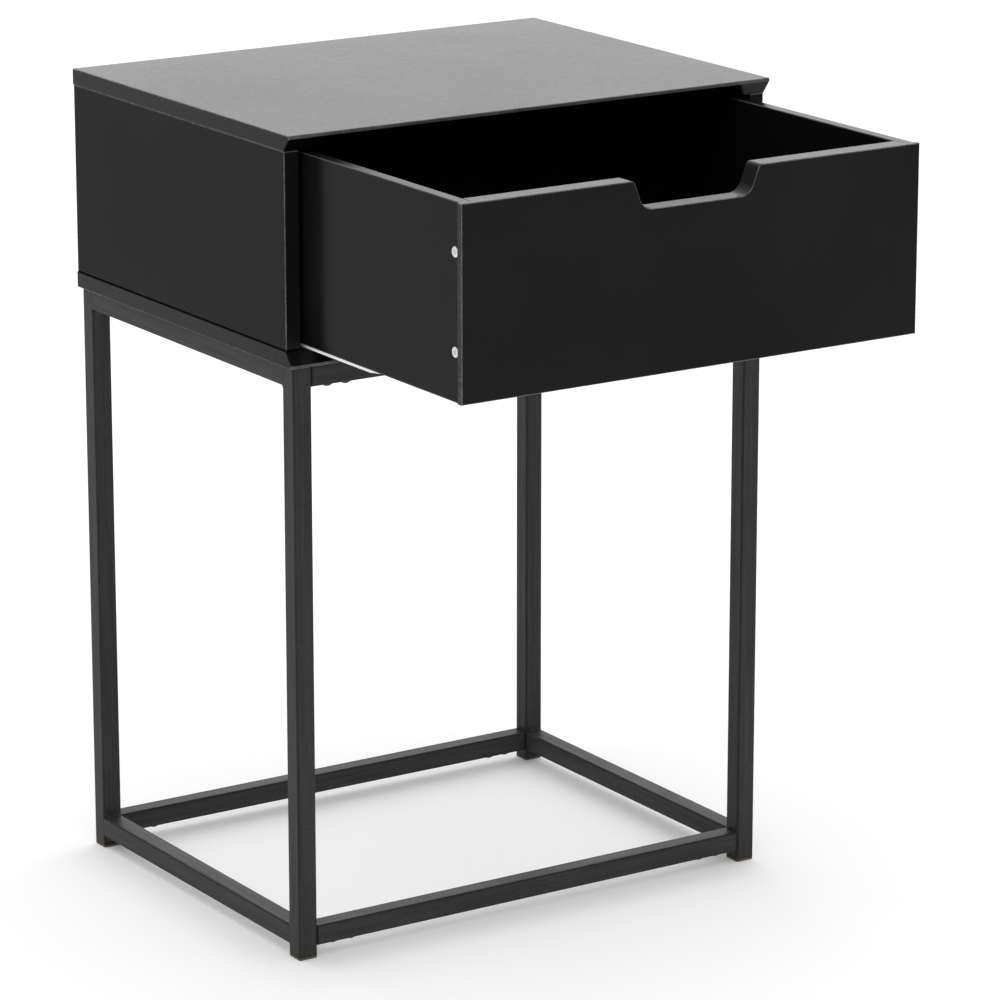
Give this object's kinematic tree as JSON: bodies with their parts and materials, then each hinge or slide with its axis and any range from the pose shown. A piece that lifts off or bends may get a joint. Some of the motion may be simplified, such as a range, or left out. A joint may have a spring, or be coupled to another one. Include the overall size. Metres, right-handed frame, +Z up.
{
  "type": "side table with drawer",
  "caption": "Slim side table: black lacquered board cabinet with a notched sliding drawer, on an open square steel tube frame.",
  "frame": {"origin": "centre of the table's footprint, on the floor under the four feet", "axes": "+Z up; -Y is the front, the way the drawer opens; +X to the right of someone facing the back"},
  "size_m": [0.406, 0.5058, 0.6],
  "materials": {
    "frame_steel": "black powder coat, satin",
    "bolt_steel": "black oxide",
    "foot_plastic": "dark brown-black moulded",
    "cabinet_lacquer": "black satin lacquer on board",
    "drawer_lacquer": "black satin lacquer on board",
    "back_hardboard": "black hardboard",
    "dowel_wood": "plain beech",
    "zinc_screw": "zinc plated",
    "glide_nylon": "white nylon"
  },
  "bodies": {
    "cabinet": {"left_front_leg": "frame_steel", "left_front_foot_cap": "foot_plastic", "left_front_top_tongue": "frame_steel", "left_front_top_bolts": "bolt_steel", "left_front_low_tongue": "frame_steel", "left_front_low_bolts": "bolt_steel", "left_back_leg": "frame_steel", "left_back_foot_cap": "foot_plastic", "left_back_top_tongue": "frame_steel", "left_back_top_bolts": "bolt_steel", "left_back_low_tongue": "frame_steel", "left_back_low_bolts": "bolt_steel", "left_top_side_rail": "frame_steel", "left_low_side_rail": "frame_steel", "left_frame_welds": "frame_steel", "right_front_leg": "frame_steel", "right_front_foot_cap": "foot_plastic", "right_front_top_tongue": "frame_steel", "right_front_top_bolts": "bolt_steel", "right_front_low_tongue": "frame_steel", "right_front_low_bolts": "bolt_steel", "right_back_leg": "frame_steel", "right_back_foot_cap": "foot_plastic", "right_back_top_tongue": "frame_steel", "right_back_top_bolts": "bolt_steel", "right_back_low_tongue": "frame_steel", "right_back_low_bolts": "bolt_steel", "right_top_side_rail": "frame_steel", "right_low_side_rail": "frame_steel", "right_frame_welds": "frame_steel", "front_top_cross_rail": "frame_steel", "front_low_cross_rail": "frame_steel", "back_top_cross_rail": "frame_steel", "back_low_cross_rail": "frame_steel", "top_slab": "cabinet_lacquer", "bottom_slab": "cabinet_lacquer", "back_board": "back_hardboard", "cabinet_dowels": "dowel_wood", "cabinet_screws": "zinc_screw", "left_side_board": "cabinet_lacquer", "left_open_stop": "cabinet_lacquer", "left_rear_stop": "cabinet_lacquer", "right_side_board": "cabinet_lacquer", "right_open_stop": "cabinet_lacquer", "right_rear_stop": "cabinet_lacquer"},
    "drawer": {"drawer_front": "drawer_lacquer", "drawer_back": "drawer_lacquer", "drawer_bottom": "drawer_lacquer", "drawer_left_side": "drawer_lacquer", "drawer_left_glide": "glide_nylon", "drawer_left_screws": "zinc_screw", "drawer_right_side": "drawer_lacquer", "drawer_right_glide": "glide_nylon", "drawer_right_screws": "zinc_screw"}
  },
  "joints": [
    {"name": "drawer_slide", "type": "slide", "parent": "cabinet", "child": "drawer", "axis": [0, -1, 0], "range_m": [-0.203, 0.009]}
  ]
}
